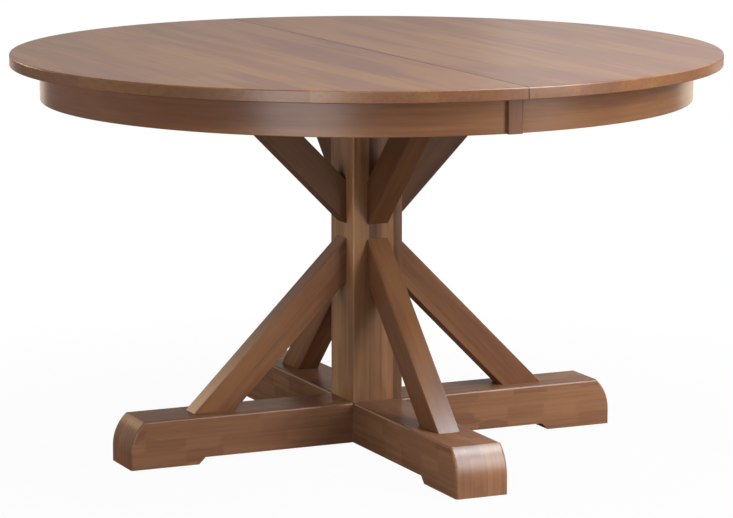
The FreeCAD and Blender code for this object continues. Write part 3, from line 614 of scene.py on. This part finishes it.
# Hardware: screws, lag bolts, washers and gear axles are zinc-plated steel; the two hook
# locks under the seam, with their plates and studs, are satin brass.
metal_haze = (120.0, 120.0, 120.0)
metal_scratch = (2200.0, 300.0, 2200.0)
scratch_relief = 0.00003
zinc = ((0.62, 0.62, 0.61), (0.46, 0.47, 0.48), 0.3)
brass = ((0.70, 0.52, 0.22), (0.55, 0.39, 0.15), 0.28)


def plated_metal(name, colour, deeper, roughness):
    material, stain = new_finish(name)
    place = stain.node("TexCoord", out="Object")
    haze = place.stretched(*metal_haze).cloud(detail=4.0)
    scratch = place.stretched(*metal_scratch).cloud(detail=2.0)
    base = stain.mixed(colour, deeper, haze.between(0.35, 0.7))
    surfaced(stain, base, roughness + haze * 0.12 + scratch * 0.06, scratch,
             scratch_relief, {"Metallic": 1.0})
    return material


carry(plated_metal("zinc_plate", *zinc), "board_screws", "rail_screws",
      "runner_screws_left", "runner_screws_right", "lower_brace_screws",
      "upper_brace_screws", "foot_lag_bolts", "foot_washers", "cleat_lag_bolts",
      "cleat_washers", "gear_axle_front", "gear_axle_back")
carry(plated_metal("satin_brass", *brass), "lock_plates", "lock_pivots", "catch_plates",
      "catch_studs", "lock_lever_front", "lock_lever_back", "lock_plate_screws",
      "catch_plate_screws")


# Studio: a floor that keeps the table's shadow and a surround, both white to the camera and
# paler in the gloss, and soft boxes. Cards that only the gloss sees stand among these, cool
# in front and warm behind. From below the floor is clear, so that it hides nothing.
floor_size = 60.0
floor_gap = 0.0002
floor_grey = 0.4
floor_paper = 0.965
floor_gleam = 0.25
shadow_near = 0.7
shadow_far = 1.6
bm = bmesh.new()
bmesh.ops.create_grid(bm, x_segments=1, y_segments=1, size=floor_size,
                      matrix=Matrix.Translation((0, 0, -floor_gap)))
floor_mesh = bpy.data.meshes.new("studio_floor")
bm.to_mesh(floor_mesh)
bm.free()
floor = bpy.data.objects.new("studio_floor", floor_mesh)
bpy.context.scene.collection.objects.link(floor)
material, stain = new_finish("studio_paper")
place = stain.node("TexCoord", out="Object")
distance = stain.node("VectorMath", out="Value", operation="LENGTH", sockets={0: place})
paper = stain.node("BsdfDiffuse", sockets={"Color": (floor_grey, floor_grey, floor_grey, 1.0)})
white = stain.node("Emission", sockets={"Color": (1.0, 1.0, 1.0, 1.0), "Strength": 1.0})
seen = stain.node("LightPath", out="Is Camera Ray")
seen = seen + stain.node("LightPath", out="Is Transmission Ray")
seen = seen + stain.node("LightPath", out="Is Glossy Ray") * floor_gleam
share = distance.between(shadow_near, shadow_far) * (1 - floor_paper) + floor_paper
shade = stain.node("MixShader", sockets={0: seen.between(0.0, 1.0) * share, 1: paper, 2: white})
below = stain.node("NewGeometry", out="Backfacing")
clear = stain.node("BsdfTransparent")
shade = stain.node("MixShader", sockets={0: below, 1: shade, 2: clear})
stain.node("OutputMaterial", sockets={"Surface": shade})
floor_mesh.materials.append(material)

sky_light = 0.04
sky_gleam = 0.6
sky_dimmed = 0.7
sky_dims_from = 0.2
sky_dims_to = 0.45
world = bpy.data.worlds.new("studio")
world.use_nodes = True
world.node_tree.nodes.clear()
bpy.context.scene.world = world
sky = Stain(world.node_tree)
seen = sky.node("LightPath", out="Is Camera Ray")
seen = seen + sky.node("LightPath", out="Is Transmission Ray")
height = sky.node("SeparateXYZ", out="Z", sockets={0: sky.node("TexCoord", out="Generated")})
gleam = (1 - height.between(sky_dims_from, sky_dims_to) * sky_dimmed) * sky_gleam
seen = seen + sky.node("LightPath", out="Is Glossy Ray") * gleam
strength = seen.between(0.0, 1.0) * (1 - sky_light) + sky_light
surround = sky.node("Background", sockets={"Color": (1.0, 1.0, 1.0, 1.0), "Strength": strength})
sky.node("OutputWorld", sockets={"Surface": surround})


lamp_aim = Vector((0, 0, 0.4))
underneath = bpy.data.collections.new("pieces_under_the_top")
for name in ("foot_left_right", "foot_front_back", "lower_stick_left", "lower_stick_right",
             "lower_stick_front", "lower_stick_back"):
    underneath.objects.link(bpy.data.objects[name])


def soft_box(name, place, width, height, power, lights=True, gleams=True, tint=(1, 1, 1),
             onto=None):
    """A rectangular lamp that faces the middle of the table. It can be shut out of what it
    lights, as a card for the gloss, or out of the gloss, as a fill, and kept to some pieces."""
    lamp = bpy.data.lights.new(name, "AREA")
    lamp.shape = "RECTANGLE"
    lamp.size = width
    lamp.size_y = height
    lamp.energy = power
    lamp.color = tint
    box = bpy.data.objects.new(name, lamp)
    box.location = place
    box.rotation_euler = (lamp_aim - Vector(place)).to_track_quat("-Z", "Y").to_euler()
    box.visible_camera = False
    box.visible_diffuse = lights
    box.visible_glossy = gleams
    if onto:
        box.light_linking.receiver_collection = onto
    bpy.context.scene.collection.objects.link(box)


soft_box("key_low", (1.75, -2.90, 1.5), 1.3, 1.9, 79)
soft_box("key_high", (1.80, -2.00, 3.90), 2.2, 2.4, 174)
soft_box("gleam_card", (1.38, -1.50, 2.62), 0.9, 0.9, 60, lights=False,
         tint=(0.58, 0.86, 1.0), onto=underneath)
soft_box("nose_card", (1.25, -2.60, 1.72), 1.2, 1.15, 38, lights=False,
         tint=(0.50, 0.84, 1.0), onto=underneath)
soft_box("warm_card_left", (-1.52, 2.90, 1.26), 1.0, 0.6, 13.5, lights=False,
         tint=(1.0, 0.71, 0.41))
soft_box("warm_card_back", (1.45, 2.47, 0.20), 5.0, 0.5, 17, lights=False,
         tint=(1.0, 0.87, 0.68))
soft_box("strip_card", (-2.53, -2.65, 0.8), 1.7, 1.6, 50, lights=False)
soft_box("fill_left_front", (-1.46, -2.09, 2.95), 2.0, 2.0, 20)
soft_box("fill_left_low", (-2.5, -2.0, 0.8), 1.6, 1.2, 19, gleams=False)
soft_box("side_right", (3.11, 0.27, 2.2), 2.0, 2.0, 18)
soft_box("side_left", (-2.5, 1.3, 0.8), 1.4, 0.9, 17, gleams=False)
soft_box("back_right_low", (3.0, 3.32, 0.35), 2.2, 0.7, 30, gleams=False)
soft_box("back_right_high", (3.0, 3.32, 1.7), 2.0, 0.8, 3)

bpy.context.scene.view_settings.view_transform = "Standard"
